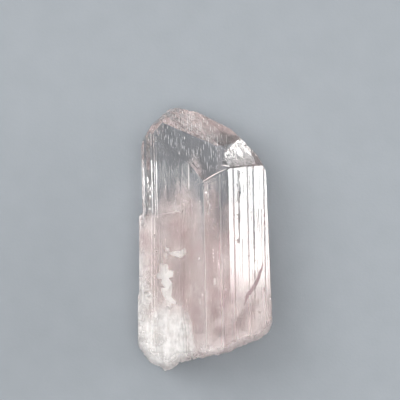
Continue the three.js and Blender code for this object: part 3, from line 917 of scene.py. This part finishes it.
def thickest(x, y, clouds, edge):
    """From 0 to 1: how deep a spot lies in the cloud that is thickest there."""
    return max(ramp(blob_distance(x, y, cloud), *edge) for cloud in clouds)


def wispy(x, y, z, usual, change, size, least):
    return limited(usual + change * wisps(x, y, z, size), least)


def white_milk(x, y, z):
    """The dense white mass at the lower left, and thinner ones along the left side and the base."""
    dense = thickest(x, y, WHITE_CLOUDS, WHITE_EDGE)
    pale = PALE_WHITE * thickest(x, y, PALE_CLOUDS, PALE_EDGE)
    top = ramp(y + MASS_FRAY * wisps(x, y, MASS_AT, MASS_WISPS), *MASS_TOP)
    mass = MASS_WHITE * top * ramp(x + MASS_SLOPE * y, *MASS_RIGHT)
    side = ramp(y, *SIDE_TOP) * max(SIDE_WHITE * ramp(x, *SIDE_RIGHT), RIM_WHITE * ramp(x, *RIM_RIGHT))
    base = BASE_WHITE * ramp(y, *BASE_TOP)
    even = max(dense, mass, side) * wispy(x, y, z, *EVEN_WHITE)
    uneven = max(pale, base) * wispy(x, y, z, *UNEVEN_WHITE)
    return max(uneven, even)


def mauve_milk(x, y):
    """How dark the milk is, from 0 to 1, in wisps that reach right through it."""
    usual, by_cloud, by_wisp = MAUVE_SHARES
    dark = thickest(x, y, MAUVE_CLOUDS, MAUVE_EDGE)
    wisp = wisps(x, PATCH_PRESS * y, MAUVE_AT, MAUVE_WISPS)
    return limited(usual + by_cloud * dark + by_wisp * wisp, 0.0)


def cloud_sheet(inside, share):
    """One sheet of cloud. Each of its points is (x, y, z, cloudiness, whiteness, mauveness)."""
    across, along = (np.arange(LOW[k], HIGH[k], CLOUD_STEP) for k in (0, 1))
    number, points = {}, []
    for i, x in enumerate(across):
        for j, y in enumerate(along):
            bottom, top = inside.bottom(x, y), inside.top(x, y)
            if top - bottom < THIN:
                continue
            shake = CLOUD_SHAKE * noise.noise(Vector((x, y, SHAKE_APART * share)) * SHAKE_SCALE)
            z = bottom + share * (top - bottom) + shake
            pink, white = milk(x, y, z), white_milk(x, y, z)
            if max(pink, white) > 0.0 and inside.clear((x, y, z), GRAIN_DEPTH):
                number[i, j] = len(points)
                amount = max(PINK_CLOUD * pink, WHITE_CLOUD * white)
                points.append([x, y, z, amount, min(1.0, WHITE_TINT * white), mauve_milk(x, y)])
    faces = []
    for (i, j), a in number.items():
        b, c, d = (number.get(key) for key in ((i + 1, j), (i + 1, j + 1), (i, j + 1)))
        if None not in (b, c, d):
            faces += [(a, b, c), (a, c, d)]
    for i in border_of(faces):
        points[i][3] *= CLOUD_RIM
    used = sorted({i for face in faces for i in face})
    place = {i: k for k, i in enumerate(used)}
    faces = [tuple(place[i] for i in face) for face in faces]
    return closed_sheet([points[i] for i in used], faces, CLOUD_THICKNESS)


def cloud(inside, material):
    """The milk: every sheet of cloud, as one piece."""
    points, faces = joined([cloud_sheet(inside, share) for share in CLOUD_SHARES])
    piece = add_piece("milky_cloud", points[:, :3], faces, material)
    for name, column in (("cloudiness", 3), ("whiteness", 4), ("mauveness", 5)):
        piece.data.attributes.new(name, "FLOAT", "POINT").data.foreach_set("value", points[:, column].copy())
    return piece


def thread(inside, path, width):
    """A fine white thread that follows a path a little below the surface and tapers at both ends. The
    painted edge highlight and glints are drawn this way too.
    """
    path, along = laid_out(path)
    count = max(4, round(along[-1] / THREAD_STEP) + 1)
    stops = np.linspace(0.0, along[-1], count)
    line = np.column_stack([np.interp(stops, along, path[:, k]) for k in (0, 1)])
    spots = np.array([(x, y, inside.top(x, y) - THREAD_DEPTH) for x, y in line])
    points = [spots[0]]
    for before, spot, after in zip(spots, spots[1:], spots[2:]):
        side = np.cross(after - before, UP)
        side *= width / 2 / np.linalg.norm(side)
        points += [spot + side, spot - side, spot - np.array(UP) * width / 2]
    points.append(spots[-1])
    last = len(points) - 1
    faces = [(0, 1 + k, 1 + (k + 1) % 3) for k in range(3)]
    faces += [(last, last - 3 + (k + 1) % 3, last - 3 + k) for k in range(3)]
    for ring in range(1, last - 3, 3):
        for k in range(3):
            a, b = ring + k, ring + (k + 1) % 3
            faces += [(a, a + 3, b + 3), (a, b + 3, b)]
    return np.array(points), faces


# The white threads, with the painted front-edge highlight and glints among them.
def threads_and_painted_glints(inside, material):
    return add_piece("white_threads", *joined([thread(inside, *path) for path in THREADS_AND_PAINTED_GLINTS]), material)


def grains(name, inside, rng, count, amount, length, width, material):
    """Tiny slivers, most of them along the crystal, each a closed mesh of its own in one piece."""
    points, faces = [], []
    needed = count * GRAIN_FACES
    while len(faces) < needed:
        spots, chances = rng.uniform(LOW, HIGH, (count, 3)), rng.random(count)
        axes, rolls = (rng.normal(0.0, stray, (count, 3)) for stray in (GRAIN_STRAY, 1.0))
        lengths, widths = rng.random(count), rng.uniform(*width, count)
        for spot, chance, axis, roll, long, wide in zip(spots, chances, axes, rolls, lengths, widths):
            if len(faces) >= needed:
                break
            if chance > amount(*spot.tolist()):
                continue
            axis = (C_AXIS + axis) * (length[0] * (length[1] / length[0]) ** long / 2)
            if not (inside.clear(spot - axis, GRAIN_DEPTH) and inside.clear(spot + axis, GRAIN_DEPTH)):
                continue
            side = np.cross(axis, roll)
            side *= wide / 2 / math.sqrt(side @ side)
            up = np.cross(axis, side)
            up *= wide / GRAIN_FLAT / math.sqrt(up @ up)
            first = len(points)
            points += [spot - axis, spot + axis, spot + side + up, spot - side + up]
            faces += [(first, first + 2, first + 1), (first, first + 1, first + 3),
                      (first, first + 3, first + 2), (first + 1, first + 2, first + 3)]
    return add_piece(name, np.array(points), faces, material)


def flakes(name, inside, rng, count, amount, size, depth, material):
    """Angular flakes of dense white milk that lie more or less level, close below the surface."""
    made = []
    while len(made) < count:
        x, y, _ = rng.uniform(LOW, HIGH)
        spot = np.array([x, y, inside.top(x, y) - rng.uniform(*depth)])
        if rng.random() > amount(*spot.tolist()) or not inside.clear(spot, FLAKE_CLEAR):
            continue
        long = size[0] * (size[1] / size[0]) ** rng.random() / 2
        slope = rng.normal(0.0, FLAKE_SLOPE, 2)
        sides = rng.integers(*FLAKE_SIDES)
        ring = []
        for k in range(sides):
            angle = 2.0 * math.pi * (k + rng.uniform(-FLAKE_SHIFT, FLAKE_SHIFT)) / sides
            across = FLAKE_WIDTH * long * math.cos(angle) * rng.uniform(*RAGGED)
            along = long * math.sin(angle) * rng.uniform(*RAGGED)
            rise = across * slope[0] + along * slope[1] * 0.5
            ring.append(spot + (across, along, rise + rng.normal(0.0, FLAKE_RUMPLE)))
        if all(inside.clear(corner, FLAKE_CLEAR / 2) for corner in ring):
            made.append(closed_sheet([spot, *ring], fan(sides), FLAKE_THICKNESS))
    return add_piece(name, *joined(made), material)


def below_front(inside, x, y):
    coarse, fine = (noise.noise(Vector((x, y, z)) * scale) for z, scale in (COARSE_FOLDS, FINE_FOLDS))
    return inside.top(x, y) - VEIL_DEPTH + (coarse + FINE_FOLD_SHARE * fine) * VEIL_FOLDS


def above_back(inside, x, y):
    return inside.bottom(x, y) + SHADE_FILM_DEPTH


def above_front(inside, x, y):
    return inside.top(x, y) + STAIN_HEIGHT


def ragged_sheet(outline, height, inside, thickness):
    """A sheet with a ragged edge, at the height that is given for each x and y."""
    ragged = []
    for a, b in zip(outline, outline[1:] + outline[:1]):
        a, b = np.array(a), np.array(b)
        count = max(1, round(np.linalg.norm(b - a) / VEIL_STEP))
        for k in range(count):
            spot = a + (b - a) * k / count
            fray = noise.noise_vector(Vector((*spot, 1.0)) * FRAY_SCALE)
            ragged.append(spot + np.array(fray)[:2] * VEIL_FRAY)
    border = len(ragged)
    ring = [(k, (k + 1) % border) for k in range(border)]
    ragged = np.array(ragged)
    low, high = ragged.min(axis=0), ragged.max(axis=0)
    for x in np.arange(low[0], high[0], VEIL_STEP):
        for y in np.arange(low[1], high[1], VEIL_STEP):
            if np.linalg.norm(ragged[:border] - (x, y), axis=1).min() > VEIL_STEP * VEIL_CLEAR:
                ragged = np.vstack([ragged, (x, y)])
    spots = [Vector(p) for p in ragged]
    made, lines, triangles, _, sources, _ = delaunay_2d_cdt(spots, ring, [], 0, SAME_PLACE)
    triangles = within(triangles, {frozenset(line) for line, source in zip(lines, sources) if source})
    used = sorted({i for t in triangles for i in t})
    place = {i: k for k, i in enumerate(used)}
    points = [(*made[i], height(inside, *made[i])) for i in used]
    return closed_sheet(points, [[place[i] for i in t] for t in triangles], thickness)


def veil(name, outline, height, inside, material):
    return add_piece(name, *ragged_sheet(outline, height, inside, VEIL_THICKNESS), material)


def fracture_stains(inside, material):
    sheets = [ragged_sheet(outline, above_front, inside, STAIN_THICKNESS) for outline in STAINS]
    return add_piece("fracture_stains", *joined(sheets), material)


def add_piece(name, points, faces, material):
    mesh = bpy.data.meshes.new(name)
    mesh.from_pydata((np.array(points) * MM).tolist(), [], faces)
    mesh.materials.append(material)
    piece = bpy.data.objects.new(name, mesh)
    bpy.context.scene.collection.objects.link(piece)
    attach(piece, "root")
    return piece


def close_gaps(mesh):
    """Fills the slits that are left where the edges of two faces don't meet point by point."""
    closed = bmesh.new()
    closed.from_mesh(mesh)
    bmesh.ops.remove_doubles(closed, verts=closed.verts, dist=SLIT * MM)
    open_edges = [edge for edge in closed.edges if edge.is_boundary]
    filled = bmesh.ops.holes_fill(closed, edges=open_edges)
    bmesh.ops.triangulate(closed, faces=filled["faces"])
    closed.to_mesh(mesh)
    closed.free()


def crystal_piece(inside, rng):
    """The crystal itself, with the cracks inside it. Returns the dust that lies in its etch marks."""
    points, faces, frost, dust = crystal_surface(rng)
    sheets = [crack_sheet(inside, *crack) for crack in CRACKS]
    sheets += [glint_sheet(inside, rng) for _ in range(GLINTS)]
    # A crack is a gap in the crystal, so its faces look inwards.
    sheets = [(sheet, [skin[::-1] for skin in skins]) for sheet, skins in sheets]
    frost += [0.0] * sum(len(skins) for _, skins in sheets)
    points, faces = joined([(points, faces), *sheets])
    piece = add_piece("danburite_crystal", points, faces, clear_crystal())
    layer = piece.data.attributes.new("frost", "FLOAT", "FACE")
    layer.data.foreach_set("value", frost)
    piece.data.polygons.foreach_set("use_smooth", [abs(f - CHIP_FROST) < TINY for f in frost])
    close_gaps(piece.data)
    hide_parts("crystal")
    return dust


# ---- materials -------------------------------------------------------------------------------------
def node_group(name, inputs, outputs):
    """A new shader node group, with its input and output nodes. Each socket is a name and a type."""
    group = bpy.data.node_groups.new(name, "ShaderNodeTree")
    for in_out, sockets in (("INPUT", inputs), ("OUTPUT", outputs)):
        for socket, kind in sockets.items():
            group.interface.new_socket(socket, in_out=in_out, socket_type=kind)
    return group, group.nodes.new("NodeGroupInput"), group.nodes.new("NodeGroupOutput")


def math_node(tree, operation, *values):
    """The output of a new maths node. Each value is a number or the output of another node."""
    node = tree.nodes.new("ShaderNodeMath")
    node.operation = operation
    for socket, value in zip(node.inputs, values):
        if isinstance(value, float):
            socket.default_value = value
        else:
            tree.links.new(value, socket)
    return node.outputs[0]


def drawn_out_noise():
    """Noise that is Size millimetres wide, drawn out along the crystal by Length and downwards by Depth."""
    sockets = dict.fromkeys(("Size", "Length", "Depth", "Roughness"), "NodeSocketFloat")
    group, start, end = node_group("drawn_out_noise", sockets, {"Value": "NodeSocketFloat"})
    nodes, links = group.nodes, group.links
    place = nodes.new("ShaderNodeSeparateXYZ")
    links.new(nodes.new("ShaderNodeTexCoord").outputs["Object"], place.inputs[0])
    pressed = nodes.new("ShaderNodeCombineXYZ")
    links.new(place.outputs["X"], pressed.inputs["X"])
    for axis, stretch in (("Y", "Length"), ("Z", "Depth")):
        shorter = math_node(group, "DIVIDE", place.outputs[axis], start.outputs[stretch])
        links.new(shorter, pressed.inputs[axis])
    per_size = math_node(group, "DIVIDE", 1.0 / MM, start.outputs["Size"])
    texture = nodes.new("ShaderNodeTexNoise")
    texture.inputs["Detail"].default_value = 3.0
    links.new(pressed.outputs[0], texture.inputs["Vector"])
    links.new(per_size, texture.inputs["Scale"])
    links.new(start.outputs["Roughness"], texture.inputs["Roughness"])
    links.new(texture.outputs["Fac"], end.inputs["Value"])
    return group


class Look:
    """A new material and short ways to add nodes to it."""

    def __init__(self, name):
        self.material = bpy.data.materials.new(name)
        self.material.use_nodes = True
        self.tree = self.material.node_tree
        self.shader = self.tree.nodes["Principled BSDF"]

    def set(self, socket, value):
        self.shader.inputs[socket].default_value = value

    def link(self, output, socket):
        self.tree.links.new(output, self.shader.inputs[socket] if isinstance(socket, str) else socket)

    def noise(self, size, length=1.0, roughness=0.5, depth=1.0):
        node = self.tree.nodes.new("ShaderNodeGroup")
        node.node_tree = DRAWN_OUT_NOISE
        for name, value in (("Size", size), ("Length", length), ("Depth", depth), ("Roughness", roughness)):
            node.inputs[name].default_value = value
        return node.outputs["Value"]

    def attribute(self, name):
        node = self.tree.nodes.new("ShaderNodeAttribute")
        node.attribute_name = name
        return node.outputs["Fac"]

    def ranged(self, value, low, high, start=0.0, end=1.0):
        """Maps start to end onto low to high."""
        node = self.tree.nodes.new("ShaderNodeMapRange")
        self.link(value, node.inputs["Value"])
        for name, number in (("From Min", start), ("From Max", end), ("To Min", low), ("To Max", high)):
            node.inputs[name].default_value = number
        return node.outputs["Result"]

    def mixed(self, share, first, second):
        """A colour between two others."""
        node = self.tree.nodes.new("ShaderNodeMix")
        node.data_type = "RGBA"
        self.link(share, node.inputs["Factor"])
        for socket, colour in ((node.inputs["A"], first), (node.inputs["B"], second)):
            if isinstance(colour, tuple):
                socket.default_value = (*colour, 1.0)
            else:
                self.link(colour, socket)
        return node.outputs["Result"]

    def bump(self, height, depth):
        """Relief of this depth in millimetres where the height goes from 0 to 1."""
        node = self.tree.nodes.new("ShaderNodeBump")
        node.inputs["Distance"].default_value = depth * MM
        self.link(height, node.inputs["Height"])
        self.link(node.outputs["Normal"], "Normal")


DRAWN_OUT_NOISE = drawn_out_noise()
PATCHES = {"start": 0.35, "end": 0.65}  # most of the noise lies between these values
PINK_MILK = (0.94, 0.86, 0.84)
PALE_PINK_MILK = (0.98, 0.93, 0.925)
MAUVE_MILK = (0.76, 0.63, 0.63)
WHITE_MILK = (0.995, 0.985, 0.98)
GREY_MILK = (0.98, 0.96, 0.955)
DUST, GREY_DUST = (0.72, 0.73, 0.73), (0.25, 0.26, 0.27)
# The white of the threads, which also paints the front edge's highlight and the glints.
THREAD_AND_GLINT_WHITE, GREY_THREAD_AND_GLINT = (0.9, 0.88, 0.87), (0.8, 0.76, 0.75)
VEIL, GREY_VEIL = (0.95, 0.935, 0.92), (0.88, 0.855, 0.845)
RUST, PALE_RUST = (0.15, 0.1, 0.105), (0.3, 0.23, 0.24)
# The dark sheet of painted shade behind the tip, and its paler patches.
DARK_SHADE_FILM, PALE_SHADE_FILM = (0.12, 0.11, 0.11), (0.2, 0.19, 0.19)
# The white bruise, which also paints the chip's sheen.
BRUISE_AND_SHEEN_GREY, PALE_BRUISE_AND_SHEEN = (0.7, 0.69, 0.69), (0.92, 0.91, 0.91)
GLASS, CLOUDY_GLASS = (1.0, 0.999, 0.998), (1.0, 0.991, 0.991)
ABSORBED, ABSORPTION = (0.9, 0.65, 0.65, 1.0), 2.2  # the colour that long ways through the crystal take on
IOR = 1.63
FLOOR, LIGHT_FLOOR = (0.2, 0.22, 0.24), (0.214, 0.234, 0.255)


def milky_cloud():
    """Milk that hides more or less of what lies behind it."""
    look = Look("milky_cloud")
    wisps = look.ranged(look.noise(1.4, length=2.2, roughness=0.6, depth=12.0), 0.55, 1.45, **PATCHES)
    look.link(math_node(look.tree, "MULTIPLY", look.attribute("cloudiness"), wisps), "Alpha")
    uneven = look.ranged(look.noise(1.3, length=2.0, roughness=0.6, depth=12.0), -0.65, 0.65, **PATCHES)
    dark = math_node(look.tree, "ADD", look.attribute("mauveness"), uneven)
    tint = look.mixed(dark, PINK_MILK, MAUVE_MILK)
    look.link(look.mixed(look.attribute("whiteness"), tint, WHITE_MILK), "Base Color")
    look.link(look.ranged(wisps, 0.5, 0.7), "Roughness")
    return look.material


def dense_milk(name, pale, dark, size=1.4):
    """Opaque milk or dust with darker patches of this size."""
    look = Look(name)
    patches = look.ranged(look.noise(size, length=2.0, roughness=0.7), 0.0, 1.0, **PATCHES)
    look.link(look.mixed(patches, dark, pale), "Base Color")
    look.link(look.ranged(patches, 0.7, 0.5), "Roughness")
    look.bump(look.noise(0.5, length=2.0, roughness=0.6), depth=0.05)
    return look.material


def clear_crystal():
    look = Look("clear_crystal")
    look.set("Transmission Weight", 1.0)
    look.set("IOR", IOR)
    cloudy = look.ranged(look.noise(4.0, length=4.0), 0.0, 1.0, start=0.4, end=0.65)
    look.link(look.mixed(cloudy, GLASS, CLOUDY_GLASS), "Base Color")
    worn = look.ranged(look.noise(0.8, length=6.0), 0.01, 0.03, start=0.4, end=0.7)
    frosted = look.ranged(look.attribute("frost"), 0.0, 0.38)
    look.link(math_node(look.tree, "ADD", frosted, worn), "Roughness")
    look.bump(look.noise(0.35, length=40.0), depth=0.0003)
    absorption = look.tree.nodes.new("ShaderNodeVolumeAbsorption")
    absorption.inputs["Color"].default_value = ABSORBED
    absorption.inputs["Density"].default_value = ABSORPTION
    look.link(absorption.outputs["Volume"], look.tree.nodes["Material Output"].inputs["Volume"])
    return look.material


def thin_layer(name, dark, pale, alpha, size, length=1.0, roughness=0.5):
    """A matt layer with patches of this size, from dark to pale. Alpha is how much those two hide."""
    look = Look(name)
    patches = look.ranged(look.noise(size, length, roughness), 0.0, 1.0, **PATCHES)
    look.link(look.mixed(patches, dark, pale), "Base Color")
    look.link(look.ranged(patches, *alpha), "Alpha")
    look.link(look.ranged(patches, 0.6, 0.8), "Roughness")
    return look.material


def stain(name):
    """Brown rust on a fracture, thinner in places."""
    return thin_layer(name, RUST, PALE_RUST, alpha=(1.0, 0.8), size=0.9, length=1.5, roughness=0.7)


def shade_film():
    """Painted shade: a thin dark grey film, where the tip shows only shade, that lets most of the light
    through.
    """
    return thin_layer("shade_film", DARK_SHADE_FILM, PALE_SHADE_FILM, alpha=(0.22, 0.14), size=2.0)


def bruise_and_painted_sheen():
    """A white bruise of fine cracks that lets some of the light through, and paints the bright sheen of the
    chip above it.
    """
    alpha = (0.1, 0.5)
    return thin_layer("bruise_and_painted_sheen", BRUISE_AND_SHEEN_GREY, PALE_BRUISE_AND_SHEEN, alpha, size=0.45, length=2.5, roughness=0.7)


def pale_floor():
    look = Look("pale_floor")
    mottled = look.ranged(look.noise(6.0), 0.0, 1.0, start=0.3, end=0.7)
    look.link(look.mixed(mottled, FLOOR, LIGHT_FLOOR), "Base Color")
    look.link(look.ranged(mottled, 0.85, 0.95), "Roughness")
    look.bump(look.noise(0.6), depth=0.02)
    return look.material


# ---- floor and light -------------------------------------------------------------------------------
FLOOR_HALF = 3000.0
FLOOR_GAP = 0.03  # how far the floor lies below the crystal


def make_floor():
    mesh = bpy.data.meshes.new("floor")
    side, height = FLOOR_HALF * MM, -FLOOR_GAP * MM
    corners = [(-side, -side, height), (side, -side, height), (side, side, height), (-side, side, height)]
    mesh.from_pydata(corners, [], [(0, 1, 2, 3)])
    floor = bpy.data.objects.new("floor", mesh)
    bpy.context.scene.collection.objects.link(floor)
    mesh.materials.append(pale_floor())


# Each softbox: its azimuth from +X towards +Y, its elevation, its half width and half height, the width
# of its soft edge, all in degrees, and its brightness.
SOFTBOXES = {
    "overhead": (0.0, 90.0, 30.0, 30.0, 8.0, 2.6),
    "right": (26.0, 10.0, 31.7, 10.0, 0.8, 12.0),
    "left": (146.0, 38.0, 20.0, 18.0, 5.0, 7.0),
    "behind_the_tip": (84.0, 24.0, 20.0, 16.0, 8.0, 2.0),
}
ROOM_LIGHT = 0.3
LIGHT_COLOUR = (1.0, 0.99, 0.98, 1.0)


def make_studio():
    world = bpy.data.worlds.new("studio")
    bpy.context.scene.world = world
    world.use_nodes = True
    tree = world.node_tree
    nodes, links = tree.nodes, tree.links
    background = nodes["Background"]
    background.inputs["Color"].default_value = LIGHT_COLOUR
    way = nodes.new("ShaderNodeVectorMath")
    way.operation = "NORMALIZE"
    links.new(nodes.new("ShaderNodeTexCoord").outputs["Generated"], way.inputs[0])

    def along(axis):
        node = nodes.new("ShaderNodeVectorMath")
        node.operation = "DOT_PRODUCT"
        links.new(way.outputs[0], node.inputs[0])
        node.inputs[1].default_value = axis
        return node.outputs["Value"]

    total = ROOM_LIGHT
    for azimuth, elevation, half_width, half_height, soft, brightness in SOFTBOXES.values():
        turn, rise = math.radians(azimuth), math.radians(elevation)
        level = Vector((math.cos(turn), math.sin(turn), 0.0))
        forward = level * math.cos(rise) + UP * math.sin(rise)
        side = level.cross(UP)
        lit = brightness
        for axis, half in ((side, half_width), (side.cross(forward), half_height)):
            angle = math_node(tree, "ARCTAN2", along(axis), along(forward))
            edge = nodes.new("ShaderNodeMapRange")
            edge.interpolation_type = "SMOOTHSTEP"
            edge.inputs["From Min"].default_value = math.radians(half + soft)
            edge.inputs["From Max"].default_value = math.radians(half - soft)
            links.new(math_node(tree, "ABSOLUTE", angle), edge.inputs["Value"])
            lit = math_node(tree, "MULTIPLY", edge.outputs["Result"], lit)
        total = math_node(tree, "ADD", lit, total)
    links.new(total, background.inputs["Strength"])
    bpy.context.scene.view_settings.view_transform = "Standard"


def let_light_through():
    """Light is refracted and scattered many times on its way through the milk."""
    light = bpy.context.scene.cycles
    light.max_bounces = 64
    light.diffuse_bounces = 24
    light.glossy_bounces = 24
    light.transmission_bounces = 32
    light.transparent_max_bounces = 128


make_camera()
make_floor()
make_studio()
let_light_through()
rng = np.random.default_rng(SEED)
noise.seed_set(SEED)  # noise.noise_vector would otherwise change from run to run
inside = Inside(*welded_triangles("crystal"))
dust = crystal_piece(inside, rng)
white = dense_milk("white_milk", WHITE_MILK, GREY_MILK)
pink = dense_milk("pink_milk", PALE_PINK_MILK, PINK_MILK)
etch_dust(dust, dense_milk("pale_dust", DUST, GREY_DUST, size=0.6))
cloud(inside, milky_cloud())
stained_cracks(inside, stain("stain"))
fracture_stains(inside, stain("surface_stain"))
threads_and_painted_glints(inside, dense_milk("white_threads", THREAD_AND_GLINT_WHITE, GREY_THREAD_AND_GLINT))
for name, outline in VEILS.items():
    veil(name, outline, below_front, inside, dense_milk(name, VEIL, GREY_VEIL))
# A dark film that paints the shade seen through the back of the tip.
veil("grey_film", PAINTED_SHADE_FILM, above_back, inside, shade_film())
# A white sheet under the chip: a bruise of fine cracks that also paints the chip's sheen.
veil("shoulder_bruise", BRUISE_AND_PAINTED_SHEEN, below_front, inside, bruise_and_painted_sheen())
flakes("white_flakes", inside, rng, WHITE_FLAKES, white_milk, FLAKE_SIZE, FLAKE_DEPTH, white)
grains("pink_grains", inside, rng, GRAINS, milk, *PINK_GRAIN_SIZE, pink)
grains("white_grains", inside, rng, GRAINS, white_milk, *WHITE_GRAIN_SIZE, white)
